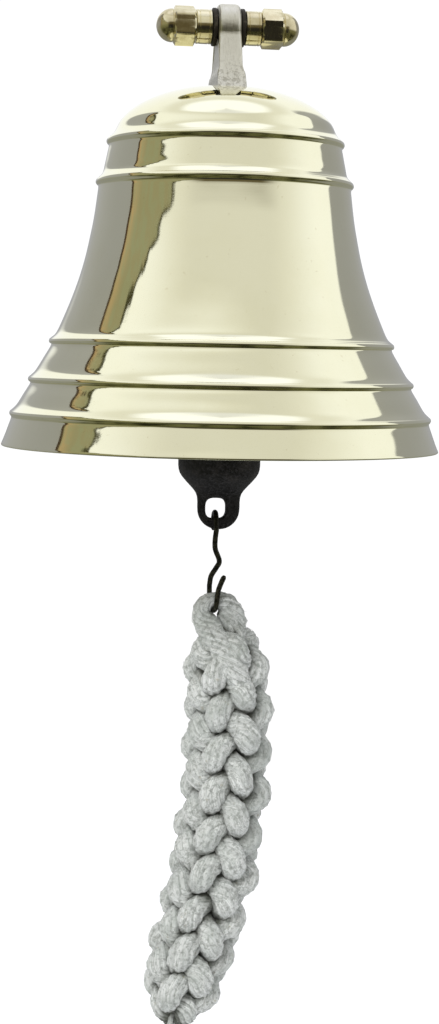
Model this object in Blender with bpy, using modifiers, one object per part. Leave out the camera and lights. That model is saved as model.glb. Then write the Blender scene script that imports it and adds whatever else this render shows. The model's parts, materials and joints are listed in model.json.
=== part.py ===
"""A ship's bell that hangs from a cross bolt, with its clapper, wire hook and plaited lanyard.

The origin is the middle of the cross bolt. +X runs along the bolt, +Z is up and -Y is the front.
"""
import math

import bmesh
import bpy
from mathutils import Matrix, Vector

MM = 0.001
GAP = 0.3 * MM                      # between pieces that touch

# Bell: heights are below the bolt's axis, radii are from the bell's axis
CROWN_TOP_Z = -26.9 * MM
CROWN_ELLIPSE = (51.3 * MM, 24.7 * MM)
SHOULDER_Z = -51.5 * MM
LIP_Z = -193.2 * MM
MOUTH_RADIUS = 101.6 * MM
CROWN_SEAT_Z = -32.3 * MM           # the flat inside the crown
CROWN_SEAT_RADIUS = 15.0 * MM
BEAD_RAMP = 4.3 * MM                # the long upper side of a bead
BEAD_RETURN = 1.9 * MM              # its short lower side
# Each bead: height of its nose, its radius, and the wall's radius above and below it
BEADS = [
    (-53.0 * MM, 54.9 * MM, 51.3 * MM, 53.8 * MM),
    (-71.6 * MM, 59.6 * MM, 56.4 * MM, 58.4 * MM),
    (-144.9 * MM, 80.1 * MM, 76.5 * MM, 79.1 * MM),
    (-162.6 * MM, 89.5 * MM, 85.9 * MM, 88.5 * MM),
    (-178.4 * MM, 97.9 * MM, 94.3 * MM, 97.0 * MM),
]
# The wall below each bead, as (height, radius)
WALLS = [
    [(-58.2, 54.4), (-63.0, 55.4)],
    [(-77.0, 58.7), (-87.5, 60.1), (-96.6, 61.8), (-105.8, 63.8), (-115.1, 66.4), (-124.3, 69.6),
     (-133.0, 73.1)],
    [(-152.5, 82.4)],
    [(-169.3, 91.4)],
    [(-183.8, 98.2), (-189.0, 100.1)],
]
# The inside, from the mouth up
INNER_WALL = [
    (-192.0, 95.0), (-181.0, 90.2), (-162.5, 81.6), (-145.5, 74.0), (-130.0, 67.2), (-110.5, 60.6),
    (-87.0, 55.9), (-65.5, 52.0), (-53.0, 49.0),
]
INNER_CROWN = (48.0 * MM, 19.4 * MM)

# Cross bolt and what is on it
BOLT_RADIUS = 5.0 * MM
BOLT_HALF_LENGTH = 26.0 * MM
LUG_HALF_THICKNESS = 5.25 * MM
WASHER_THICKNESS = 1.9 * MM
WASHER_RADIUS = 8.65 * MM
SPACER_LENGTH = 7.2 * MM
SPACER_RADIUS = 7.8 * MM
CAP_HEX_LENGTH = 10.0 * MM
CAP_ACROSS_FLATS = 16.0 * MM
CAP_DOME_LENGTH = 7.8 * MM
CAP_DOME_RADIUS = 7.6 * MM
CAP_BORE_DEPTH = 12.0 * MM

# Lug
LUG_TOP_RADIUS = 10.5 * MM
LUG_FOOT_HALF_DEPTH = 20.0 * MM
LUG_FOOT_Z = -30.5 * MM
STUD_END_Z = -57.5 * MM

# Clamping parts inside the crown
LEATHER_THICKNESS = 2.0 * MM
CROWN_WASHER_THICKNESS = 1.8 * MM
SPRING_WASHER_THICKNESS = 2.4 * MM
CROWN_NUT_HEIGHT = 8.0 * MM

# Clapper pivot
PIVOT_Z = -68.0 * MM
PIN_RADIUS = 3.0 * MM
CLEVIS_SLOT = 9.2 * MM
CLEVIS_CHEEK = 4.0 * MM
CLEVIS_CHEEK_RADIUS = 7.0 * MM
CLEVIS_BASE_RADIUS = 10.0 * MM
CLEVIS_BASE_HEIGHT = 10.0 * MM

# Clapper
ROD_RADIUS = 4.5 * MM
ROD_EYE_THICKNESS = 5.5 * MM
ROD_EYE_RADIUS = 7.0 * MM
THREAD_RADIUS = 4.0 * MM
JAM_NUT_ACROSS_FLATS = 13.0 * MM
JAM_NUT_HEIGHT = 6.5 * MM
BOB_TOP_Z = -181.5 * MM
BOB_RADIUS = 19.2 * MM
TAIL_HALF_WIDTH = 9.9 * MM
TAIL_THICKNESS = 5.6 * MM
TAIL_Z = -221.6 * MM                # the middle of its round end
EYE_X = -1.5 * MM                   # the eye was cast a little off the middle
EYE_Z = -221.3 * MM
EYE_HALF_WIDTH = 4.8 * MM

# Hook: two round bends in one wire
WIRE_RADIUS = 1.25 * MM
UPPER_BEND_Z = -228.8 * MM
UPPER_BEND_RADIUS = 5.5 * MM
LOWER_BEND_Z = -263.3 * MM
LOWER_BEND_RADIUS = 6.3 * MM
# The shank's centreline between the bends, as (x, y, z) in millimetres
SHANK = [
    (-1.4, -5.5, -231.2), (-1.8, -4.9, -235.6), (-1.4, -2.8, -240.4), (1.0, 0.1, -246.3),
    (-0.2, 2.2, -249.8), (-2.2, 4.6, -254.0), (-2.7, 6.1, -258.5),
]
TIP = [(0.0, -6.5, -259.1), (1.2, -7.0, -255.7), (2.5, -7.9, -252.4)]

# Lanyard: its centreline as (x, z), and the plait's radius there, in millimetres
LOBE_CENTRE = (1.3 * MM, -273.3 * MM)
LOBE_RADIUS = 12.7 * MM
LOBE_HALF_THICKNESS = 4.4 * MM
HOLE_CENTRE = (-1.6 * MM, -269.6 * MM)
HOLE_RADIUS = 1.75 * MM
PLAIT = [
    (2.6, -277.5, 7.0), (3.4, -281.5, 11.8), (4.3, -289.0, 16.4), (5.0, -300.0, 19.2),
    (6.6, -316.0, 20.2), (6.4, -336.0, 20.2), (5.0, -360.0, 20.2), (2.1, -384.0, 20.2),
    (-2.6, -408.0, 20.2), (-7.6, -428.0, 20.0), (-11.8, -443.0, 19.0), (-14.2, -455.0, 16.5),
    (-15.0, -463.0, 13.4), (-15.1, -466.5, 10.5),
]

PARTS = bpy.data.collections.new("ship_bell")
CUTTERS = bpy.data.collections.new("ship_bell_cutters")


def clear_scene():
    """Remove every object and hang the two collections in the scene."""
    for obj in list(bpy.data.objects):
        bpy.data.objects.remove(obj)
    bpy.context.scene.collection.children.link(PARTS)
    bpy.context.scene.collection.children.link(CUTTERS)


def material(name, colour, roughness, metallic):
    """A Principled material with plain values."""
    mat = bpy.data.materials.new(name)
    mat.use_nodes = True
    shader = mat.node_tree.nodes["Principled BSDF"]
    shader.inputs["Base Color"].default_value = (*colour, 1.0)
    shader.inputs["Roughness"].default_value = roughness
    shader.inputs["Metallic"].default_value = metallic
    return mat


def pivot(name, position):
    """An empty on a joint's axis."""
    empty = bpy.data.objects.new(name, None)
    empty.empty_display_size = 0.02
    empty.location = position
    PARTS.objects.link(empty)
    return empty


def add_piece(obj, name, mat, parent):
    """Name an object, give it its material and put it under its pivot, where it already stands."""
    for collection in list(obj.users_collection):
        collection.objects.unlink(obj)
    obj.name = name
    obj.data.name = name
    obj.data.materials.clear()
    obj.data.materials.append(mat)
    PARTS.objects.link(obj)
    obj.parent = parent
    obj.matrix_parent_inverse = Matrix.Translation(-parent.location)
    obj.data.shade_smooth()
    obj.data.set_sharp_from_angle(angle=math.radians(35))
    return obj


def make_cutter(obj, name):
    """Turn an object into a hidden tool for a Boolean."""
    for collection in list(obj.users_collection):
        collection.objects.unlink(obj)
    obj.name = name
    CUTTERS.objects.link(obj)
    obj.hide_render = True
    obj.display_type = "WIRE"
    return obj


def boolean(obj, tool, operation):
    """Cut, join or intersect an object with a tool."""
    step = obj.modifiers.new(tool.name, "BOOLEAN")
    step.operation = operation
    step.object = tool


def bevel(obj, width, segments=2, angle=35):
    """Round the edges that are sharper than the angle."""
    step = obj.modifiers.new("Rounded edges", "BEVEL")
    step.width = width
    step.segments = segments
    step.limit_method = "ANGLE"
    step.angle_limit = math.radians(angle)


def turned(outline, centre=(0, 0, 0), along_x=False, steps=32, on_axis=False):
    """A turned solid from (radius, height) points that run down its outer side.

    The outline closes on itself, unless both its ends lie on the axis.
    """
    mesh = bpy.data.meshes.new("outline")
    count = len(outline)
    edges = [(i, i + 1) for i in range(count - 1)]
    if not on_axis:
        edges.append((count - 1, 0))
    mesh.from_pydata([(radius, 0, height) for radius, height in outline], edges, [])
    obj = bpy.data.objects.new("turned", mesh)
    bpy.context.scene.collection.objects.link(obj)
    obj.location = centre
    if along_x:
        obj.rotation_euler = (0, math.pi / 2, 0)
    screw = obj.modifiers.new("Turn", "SCREW")
    screw.axis = "Z"
    screw.angle = 2 * math.pi
    screw.steps = steps
    screw.render_steps = steps
    screw.use_merge_vertices = True
    screw.merge_threshold = 0.00002
    return obj


def ring_outline(inner, outer, length, chamfer):
    """The outline of a sleeve about its middle, with its outer edges broken."""
    half = length / 2
    return [
        (inner, half), (outer - chamfer, half), (outer, half - chamfer),
        (outer, -half + chamfer), (outer - chamfer, -half), (inner, -half),
    ]


def cylinder(radius, length, centre=(0, 0, 0), rotation=(0, 0, 0), sides=32):
    """A plain cylinder."""
    bpy.ops.mesh.primitive_cylinder_add(
        vertices=sides, radius=radius, depth=length, location=centre, rotation=rotation)
    return bpy.context.object


def curve_tube(points, radius, radii=None, resolution=2):
    """A mesh tube along points, with closed ends."""
    curve = bpy.data.curves.new("tube", "CURVE")
    curve.dimensions = "3D"
    curve.bevel_depth = radius
    curve.bevel_resolution = resolution
    curve.use_fill_caps = True
    spline = curve.splines.new("POLY")
    spline.points.add(len(points) - 1)
    for index, place in enumerate(points):
        spline.points[index].co = (*place, 1.0)
        spline.points[index].radius = radii[index] if radii else 1.0
    return curve_to_mesh(curve)


def flat_plate(points, thickness, centre, rotation):
    """A mesh plate from a closed flat outline."""
    curve = bpy.data.curves.new("plate", "CURVE")
    curve.dimensions = "2D"
    curve.fill_mode = "BOTH"
    curve.extrude = thickness / 2
    spline = curve.splines.new("POLY")
    spline.use_cyclic_u = True
    spline.points.add(len(points) - 1)
    for index, (across, up) in enumerate(points):
        spline.points[index].co = (across, up, 0.0, 1.0)
    return curve_to_mesh(curve, centre, rotation)


def curve_to_mesh(curve, centre=(0, 0, 0), rotation=(0, 0, 0)):
    """The curve's solid as a mesh object with welded caps."""
    obj = bpy.data.objects.new("curve", curve)
    bpy.context.scene.collection.objects.link(obj)
    obj.location = centre
    obj.rotation_euler = rotation
    bpy.context.view_layer.update()
    evaluated = obj.evaluated_get(bpy.context.evaluated_depsgraph_get())
    mesh = bpy.data.meshes.new_from_object(evaluated)
    shape = bmesh.new()
    shape.from_mesh(mesh)
    bmesh.ops.remove_doubles(shape, verts=shape.verts, dist=0.00002)
    bmesh.ops.recalc_face_normals(shape, faces=shape.faces)
    shape.to_mesh(mesh)
    shape.free()
    result = bpy.data.objects.new("mesh", mesh)
    bpy.context.scene.collection.objects.link(result)
    result.matrix_world = obj.matrix_world.copy()
    bpy.data.objects.remove(obj)
    return result


def arc(centre, radius, start, end, count):
    """Points on an arc, from start to end in degrees."""
    points = []
    for step in range(count + 1):
        angle = math.radians(start + (end - start) * step / count)
        points.append((centre[0] + radius * math.cos(angle), centre[1] + radius * math.sin(angle)))
    return points


def smooth_path(points, parts):
    """A Catmull-Rom curve through the points, with the given number of parts between each two."""
    ends = [2 * points[0] - points[1], *points, 2 * points[-1] - points[-2]]
    path = []
    for i in range(1, len(ends) - 2):
        before, start, end, after = ends[i - 1:i + 3]
        for step in range(parts):
            t = step / parts
            path.append(0.5 * (
                2 * start + (end - before) * t
                + (2 * before - 5 * start + 4 * end - after) * t ** 2
                + (3 * start - before - 3 * end + after) * t ** 3))
    return path + [points[-1]]


def in_mm(pairs):
    """(height, radius) pairs in millimetres as (radius, height) points in metres."""
    return [(radius * MM, height * MM) for height, radius in pairs]


def ellipse_profile(size, centre_z, start, end, count):
    """Points of an upright elliptic dome, from start to end in degrees above its centre."""
    points = []
    for step in range(count + 1):
        angle = math.radians(start + (end - start) * step / count)
        points.append((size[0] * math.cos(angle), centre_z + size[1] * math.sin(angle)))
    return points


def bead(nose_z, nose_radius, above, below):
    """One bead ring: a long ramp outwards, a rounded nose and a short step back to the wall."""
    return [
        (above, nose_z + BEAD_RAMP),
        (above + 0.62 * (nose_radius - above), nose_z + 0.45 * BEAD_RAMP),
        (nose_radius - 0.35 * MM, nose_z + 1.1 * MM),
        (nose_radius, nose_z),
        (nose_radius - 0.4 * MM, nose_z - 0.9 * MM),
        (below, nose_z - BEAD_RETURN),
    ]


def bell_outline():
    """The bell's wall, down the outside and back up the inside."""
    bore = BOLT_RADIUS + GAP
    outline = [(bore, CROWN_TOP_Z)]
    outline += ellipse_profile(CROWN_ELLIPSE, SHOULDER_Z, 80, 17, 7)
    for ring, wall in zip(BEADS, WALLS):
        outline += bead(*ring) + in_mm(wall)
    outline += [(MOUTH_RADIUS, LIP_Z + 0.5 * MM), (MOUTH_RADIUS - 0.6 * MM, LIP_Z)]
    outline += [(MOUTH_RADIUS - 5.8 * MM, LIP_Z)] + in_mm(INNER_WALL)
    outline += ellipse_profile(INNER_CROWN, SHOULDER_Z, 15, 68, 4)
    outline += [(CROWN_SEAT_RADIUS, CROWN_SEAT_Z), (bore, CROWN_SEAT_Z)]
    return outline


def make_bell(mat, parent):
    """The bell itself."""
    add_piece(turned(bell_outline(), steps=40), "bell_body", mat, parent)


def make_lug(mat, parent):
    """The hanging lug: a plate with a round crest and splayed flanks, its foot and its stud."""
    lean = math.radians(19)
    crest = arc((0, 0), LUG_TOP_RADIUS, -19, 199, 16)
    side_z = -10 * MM
    side_y = crest[0][0] + (crest[0][1] - side_z) * math.tan(lean) + 1.5 * MM
    foot = [(-side_y, side_z), (-LUG_FOOT_HALF_DEPTH, LUG_FOOT_Z)]
    outline = crest + foot + [(-across, up) for across, up in reversed(foot)]
    plate = flat_plate(outline, 2 * LUG_HALF_THICKNESS, (0, 0, 0), (math.pi / 2, 0, math.pi / 2))
    bevel(plate, 2.6 * MM, segments=3, angle=50)
    bpy.ops.mesh.primitive_cone_add(
        vertices=32, radius1=1.0, radius2=0.86, depth=9 * MM, location=(0, 0, -27.0 * MM))
    pad = bpy.context.object
    for vertex in pad.data.vertices:
        vertex.co.x *= 6.6 * MM
        vertex.co.y *= LUG_FOOT_HALF_DEPTH + 0.8 * MM
    boolean(plate, make_cutter(pad, "lug_foot"), "UNION")
    dome = [(0, CROWN_TOP_Z + GAP)]
    size = (CROWN_ELLIPSE[0] + GAP, CROWN_ELLIPSE[1] + GAP)
    dome += ellipse_profile(size, SHOULDER_Z, 80, 30, 8)
    dome += [(dome[-1][0], -60 * MM), (0, -60 * MM)]
    boolean(plate, make_cutter(turned(dome, on_axis=True), "lug_seat"), "DIFFERENCE")
    middle = (STUD_END_Z - 20 * MM) / 2
    stud = cylinder(BOLT_RADIUS, -20 * MM - STUD_END_Z, (0, 0, middle))
    boolean(plate, make_cutter(stud, "lug_stud"), "UNION")
    bore = cylinder(BOLT_RADIUS + GAP, 40 * MM, rotation=(0, math.pi / 2, 0))
    boolean(plate, make_cutter(bore, "lug_bore"), "DIFFERENCE")
    add_piece(plate, "crown_lug", mat, parent)


def hex_body(across_flats, height, centre, rotation, name):
    """A hexagon with its corners chamfered at both ends."""
    corner = across_flats / 2 / math.cos(math.pi / 6)
    obj = cylinder(corner, height, centre, rotation, sides=6)
    half = height / 2
    slope = (corner - across_flats / 2 * 0.97) * math.tan(math.radians(30))
    chamfer = turned([
        (0, half), (across_flats / 2 * 0.97, half), (corner + 0.1 * MM, half - slope),
        (corner + 0.1 * MM, -half + slope), (across_flats / 2 * 0.97, -half), (0, -half),
    ], on_axis=True)
    chamfer.location = centre
    chamfer.rotation_euler = rotation
    boolean(obj, make_cutter(chamfer, name + "_chamfer"), "INTERSECT")
    return obj


def make_cap_nut(name, side, turn, mat, parent):
    """A domed hexagon nut on one end of the bolt, turned by an angle about the bolt."""
    inner = LUG_HALF_THICKNESS + WASHER_THICKNESS + SPACER_LENGTH + 3 * GAP
    middle = side * (inner + CAP_HEX_LENGTH / 2)
    across = (0, side * math.pi / 2, 0)
    tilt = Matrix.Rotation(math.radians(turn), 4, "X") @ Matrix.Rotation(across[1], 4, "Y")
    nut = hex_body(CAP_ACROSS_FLATS, CAP_HEX_LENGTH, (middle, 0, 0), tilt.to_euler(), name)
    half = CAP_HEX_LENGTH / 2
    dome = [(0, half + CAP_DOME_LENGTH)]
    dome += [(radius, half + 0.6 * MM + height) for radius, height in
             ellipse_profile((CAP_DOME_RADIUS, CAP_DOME_LENGTH - 0.6 * MM), 0, 75, 0, 6)]
    dome += [(CAP_DOME_RADIUS, 0), (0, 0)]
    cap = turned(dome, (middle, 0, 0), on_axis=True)
    cap.rotation_euler = across
    boolean(nut, make_cutter(cap, name + "_dome"), "UNION")
    bore = cylinder(BOLT_RADIUS + GAP, 2 * CAP_BORE_DEPTH, (side * inner, 0, 0), (0, math.pi / 2, 0))
    boolean(nut, make_cutter(bore, name + "_bore"), "DIFFERENCE")
    add_piece(nut, name, mat, parent)


def make_hanger(brass, steel, dark, parent):
    """The cross bolt with its washers, sleeves and cap nuts."""
    bolt = cylinder(BOLT_RADIUS, 2 * BOLT_HALF_LENGTH, rotation=(0, math.pi / 2, 0))
    bevel(bolt, 0.6 * MM, segments=1)
    add_piece(bolt, "hanger_bolt", steel, parent)
    bore = BOLT_RADIUS + GAP
    for side, word, turn in ((-1, "left", 30), (1, "right", 43)):
        middle = LUG_HALF_THICKNESS + GAP + WASHER_THICKNESS / 2
        outline = ring_outline(bore, WASHER_RADIUS, WASHER_THICKNESS, 0.25 * MM)
        washer = turned(outline, (side * middle, 0, 0), along_x=True)
        add_piece(washer, "thrust_washer_" + word, dark, parent)
        middle += WASHER_THICKNESS / 2 + GAP + SPACER_LENGTH / 2
        outline = ring_outline(bore, SPACER_RADIUS, SPACER_LENGTH, 0.5 * MM)
        spacer = turned(outline, (side * middle, 0, 0), along_x=True)
        add_piece(spacer, "spacer_" + word, brass, parent)
        make_cap_nut("cap_nut_" + word, side, turn, brass, parent)


def make_crown_clamp(leather, steel, parent):
    """The washers and the nut that hold the lug's stud inside the crown; returns their lower face."""
    bore = BOLT_RADIUS + GAP
    top = CROWN_SEAT_Z - GAP
    rings = (
        ("leather_washer", 13.0 * MM, LEATHER_THICKNESS, leather),
        ("crown_washer", 12.0 * MM, CROWN_WASHER_THICKNESS, steel),
        ("spring_washer", 9.0 * MM, SPRING_WASHER_THICKNESS, steel),
    )
    for name, radius, thickness, mat in rings:
        ring = turned(ring_outline(bore, radius, thickness, 0.2 * MM), (0, 0, top - thickness / 2))
        if name == "spring_washer":
            bpy.ops.mesh.primitive_cube_add(size=1, location=(7.5 * MM, 0, top - thickness / 2))
            slit = bpy.context.object
            slit.scale = (8 * MM, 1.2 * MM, 8 * MM)
            slit.rotation_euler = (math.radians(30), 0, 0)
            boolean(ring, make_cutter(slit, "spring_washer_slit"), "DIFFERENCE")
        add_piece(ring, name, mat, parent)
        top -= thickness + GAP
    centre = (0, 0, top - CROWN_NUT_HEIGHT / 2)
    nut = hex_body(CAP_ACROSS_FLATS, CROWN_NUT_HEIGHT, centre, (0, 0, 0), "crown_nut")
    hole = cylinder(bore, 2 * CROWN_NUT_HEIGHT, centre)
    boolean(nut, make_cutter(hole, "crown_nut_bore"), "DIFFERENCE")
    add_piece(nut, "crown_nut", steel, parent)
    return top - CROWN_NUT_HEIGHT - GAP


def make_clevis(top, steel, brass, parent):
    """The fork on the stud's end, its cross pin and the split pin that keeps the pin in."""
    height = CLEVIS_BASE_HEIGHT
    base = turned([
        (0, top), (CLEVIS_BASE_RADIUS - 1 * MM, top), (CLEVIS_BASE_RADIUS, top - 1 * MM),
        (CLEVIS_BASE_RADIUS, top - height), (0, top - height),
    ], on_axis=True)
    radius = CLEVIS_CHEEK_RADIUS
    outline = arc((0, PIVOT_Z), radius, 180, 360, 12) + [(radius, top - 3 * MM), (-radius, top - 3 * MM)]
    width = CLEVIS_SLOT + 2 * CLEVIS_CHEEK
    fork = flat_plate(outline, width, (0, 0, 0), (math.pi / 2, 0, math.pi / 2))
    boolean(base, make_cutter(fork, "clevis_fork"), "UNION")
    bpy.ops.mesh.primitive_cube_add(size=1, location=(0, 0, top - height - 15 * MM))
    slot = bpy.context.object
    slot.scale = (CLEVIS_SLOT, 30 * MM, 30 * MM)
    boolean(base, make_cutter(slot, "clevis_slot"), "DIFFERENCE")
    thread = cylinder(BOLT_RADIUS + GAP, 4 * height, (0, 0, top))
    boolean(base, make_cutter(thread, "clevis_thread"), "DIFFERENCE")
    across = cylinder(PIN_RADIUS + GAP, 60 * MM, (0, 0, PIVOT_Z), (0, math.pi / 2, 0))
    boolean(base, make_cutter(across, "clevis_pin_bore"), "DIFFERENCE")
    add_piece(base, "clapper_clevis", brass, parent)

    half = width / 2
    end = half + 4.6 * MM
    head = 1.6 * MM
    pin = turned([
        (0, end), (PIN_RADIUS - 0.5 * MM, end), (PIN_RADIUS, end - 0.5 * MM),
        (PIN_RADIUS, -half - GAP), (4.6 * MM, -half - GAP), (4.6 * MM, -half - GAP - head),
        (0, -half - GAP - head),
    ], (0, 0, PIVOT_Z), along_x=True, on_axis=True)
    hole_x = half + 2.4 * MM
    hole = cylinder(1.1 * MM, 20 * MM, (hole_x, 0, PIVOT_Z), sides=16)
    boolean(pin, make_cutter(hole, "clevis_pin_hole"), "DIFFERENCE")
    add_piece(pin, "clevis_pin", steel, parent)

    loop = arc((0, PIVOT_Z + 6.2 * MM), 1.7 * MM, -60, 270, 11)
    wire = [Vector((hole_x, across, up)) for across, up in loop]
    wire += [Vector((hole_x, 0, PIVOT_Z - 4.6 * MM)), Vector((hole_x, 1.2 * MM, PIVOT_Z - 5.9 * MM)),
             Vector((hole_x, 3.2 * MM, PIVOT_Z - 6.6 * MM))]
    add_piece(curve_tube(wire, 0.75 * MM), "clevis_split_pin", steel, parent)


def make_clapper(iron, steel, parent):
    """The forged rod with its flat eye, the bob with its eyed tail, and the nut between them."""
    shoulder_z = PIVOT_Z - 12 * MM
    thread_z = BOB_TOP_Z + 14 * MM
    end_z = BOB_TOP_Z - 15 * MM
    outline = arc((0, PIVOT_Z), ROD_EYE_RADIUS, -40, 220, 18)
    outline += [(-ROD_RADIUS, shoulder_z - 3 * MM), (ROD_RADIUS, shoulder_z - 3 * MM)]
    eye = flat_plate(outline, ROD_EYE_THICKNESS, (0, 0, 0), (math.pi / 2, 0, math.pi / 2))
    shaft = turned([
        (0, shoulder_z + 1.5 * MM), (ROD_EYE_THICKNESS / 2, shoulder_z + 1.5 * MM),
        (ROD_RADIUS, shoulder_z - 3 * MM), (ROD_RADIUS, thread_z), (THREAD_RADIUS, thread_z - 1 * MM),
        (THREAD_RADIUS, end_z), (0, end_z),
    ], (0, 0, 0), steps=24, on_axis=True)
    boolean(eye, make_cutter(shaft, "rod_shaft"), "UNION")
    bore = cylinder(PIN_RADIUS + GAP, 30 * MM, (0, 0, PIVOT_Z), (0, math.pi / 2, 0))
    boolean(eye, make_cutter(bore, "rod_eye_bore"), "DIFFERENCE")
    add_piece(eye, "clapper_rod", iron, parent)

    centre = (0, 0, BOB_TOP_Z + GAP + JAM_NUT_HEIGHT / 2)
    nut = hex_body(JAM_NUT_ACROSS_FLATS, JAM_NUT_HEIGHT, centre, (0, 0, 0), "clapper_jam_nut")
    hole = cylinder(THREAD_RADIUS + GAP, 20 * MM, centre, sides=24)
    boolean(nut, make_cutter(hole, "jam_nut_bore"), "DIFFERENCE")
    add_piece(nut, "clapper_jam_nut", steel, parent)

    middle_z = -198.5 * MM
    bob = [(0, BOB_TOP_Z)]
    bob += [(radius, height) for radius, height in
            ellipse_profile((BOB_RADIUS, BOB_TOP_Z - middle_z), middle_z, 65, 0, 7)]
    bob += [(BOB_RADIUS, -203 * MM), (BOB_RADIUS - 0.6 * MM, -206.3 * MM), (10.4 * MM, -214.6 * MM),
            (8.2 * MM, -215.8 * MM), (0, -215.8 * MM)]
    body = turned(bob, (0, 0, 0), on_axis=True)
    round_end = arc((0, TAIL_Z), TAIL_HALF_WIDTH, 180, 360, 16)
    outline = round_end + [(TAIL_HALF_WIDTH, -212 * MM), (-TAIL_HALF_WIDTH, -212 * MM)]
    tail = flat_plate(outline, TAIL_THICKNESS, (0, 0, 0), (math.pi / 2, 0, 0))
    bevel(tail, 0.9 * MM)
    boolean(body, make_cutter(tail, "bob_tail"), "UNION")
    corner = 2.4 * MM
    reach = EYE_HALF_WIDTH - corner
    outline = []
    for quarter, (across, up) in enumerate(((1, 1), (-1, 1), (-1, -1), (1, -1))):
        centre = (EYE_X + across * reach, EYE_Z + up * reach)
        outline += arc(centre, corner, 90 * quarter, 90 * quarter + 90, 4)
    eye = flat_plate(outline, 40 * MM, (0, 0, 0), (math.pi / 2, 0, 0))
    boolean(body, make_cutter(eye, "bob_eye"), "DIFFERENCE")
    socket = cylinder(THREAD_RADIUS + GAP, 34 * MM, (0, 0, BOB_TOP_Z), sides=24)
    boolean(body, make_cutter(socket, "bob_socket"), "DIFFERENCE")
    add_piece(body, "clapper_bob", iron, parent)


def make_hook(mat, parent):
    """The bent wire: a round bend in the tail's eye, a kinked shank and a round bend in the lanyard."""
    upper = arc((0, UPPER_BEND_Z), UPPER_BEND_RADIUS, -35, 180, 12)
    wire = [Vector((EYE_X, across, up)) for across, up in upper]
    wire += smooth_path([Vector(place) * MM for place in SHANK], 2)
    lower = arc((0, LOWER_BEND_Z), LOWER_BEND_RADIUS, 0, -180, 10)
    for across, up in lower:
        drift = -across / LOWER_BEND_RADIUS * MM
        wire.append(Vector((HOLE_CENTRE[0] + drift, across, up)))
    wire += smooth_path([Vector(place) * MM for place in TIP], 1)
    add_piece(curve_tube(wire, WIRE_RADIUS), "s_hook", mat, parent)


def make_lanyard(mat, parent):
    """The plait's outer shape with its tight top eye, which the hook's lower bend passes through."""
    places = [Vector((x, z, radius)) for x, z, radius in PLAIT]
    path = smooth_path(places, 2)
    points = [(place.x * MM, 0, place.y * MM) for place in path]
    tube = curve_tube(points, 1 * MM, [place.z for place in path], resolution=4)
    half = LOBE_HALF_THICKNESS
    lobe = cylinder(LOBE_RADIUS, 2 * half, (LOBE_CENTRE[0], 0, LOBE_CENTRE[1]), (math.pi / 2, 0, 0))
    bevel(lobe, 2.6 * MM, segments=2)
    boolean(tube, make_cutter(lobe, "lanyard_lobe"), "UNION")
    waist = []
    for step in range(-6, 7):
        depth = -step * (half + 0.4 * MM) / 6
        rise = LOWER_BEND_RADIUS - math.sqrt(LOWER_BEND_RADIUS ** 2 - depth ** 2)
        waist.append((HOLE_RADIUS + 1.4 * rise, depth))
    hole = turned([(0, waist[0][1]), *waist, (0, waist[-1][1])], steps=20, on_axis=True)
    hole.location = (HOLE_CENTRE[0], 0, HOLE_CENTRE[1])
    hole.rotation_euler = (math.pi / 2, 0, 0)
    boolean(tube, make_cutter(hole, "lanyard_hole"), "DIFFERENCE")
    add_piece(tube, "lanyard", mat, parent)


def main():
    """Build the whole bell."""
    clear_scene()
    polished = material("polished_brass", (0.80, 0.74, 0.50), 0.14, 1.0)
    satin = material("satin_brass", (0.56, 0.53, 0.42), 0.42, 1.0)
    fittings = material("brass_fittings", (0.62, 0.56, 0.38), 0.28, 1.0)
    dark = material("dark_washer", (0.05, 0.045, 0.03), 0.5, 0.6)
    steel = material("steel", (0.42, 0.42, 0.41), 0.35, 1.0)
    iron = material("black_iron", (0.012, 0.012, 0.013), 0.55, 0.3)
    bronze = material("dark_wire", (0.02, 0.018, 0.014), 0.45, 0.7)
    leather = material("leather", (0.12, 0.06, 0.03), 0.8, 0.0)
    cotton = material("plaited_cotton", (0.50, 0.52, 0.49), 0.95, 0.0)

    hanger = pivot("hanger_frame", (0, 0, 0))
    bell = pivot("bell_pivot", (0, 0, 0))
    clapper = pivot("clapper_pivot", (0, 0, PIVOT_Z))
    hook = pivot("hook_pivot", (EYE_X, 0, UPPER_BEND_Z))
    lanyard = pivot("lanyard_pivot", (HOLE_CENTRE[0], 0, HOLE_CENTRE[1]))

    make_hanger(fittings, steel, dark, hanger)
    make_bell(polished, bell)
    make_lug(satin, bell)
    clamp_bottom = make_crown_clamp(leather, steel, bell)
    make_clevis(clamp_bottom, steel, fittings, bell)
    make_clapper(iron, steel, clapper)
    make_hook(bronze, hook)
    make_lanyard(cotton, lanyard)


main()
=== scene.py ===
"""The looks of the ship's bell: polished brass, cast iron, a wire hook and a plaited cotton lanyard."""
import json
import math
import random

import bmesh
import bpy
from mathutils import Matrix, Vector, noise


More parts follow.
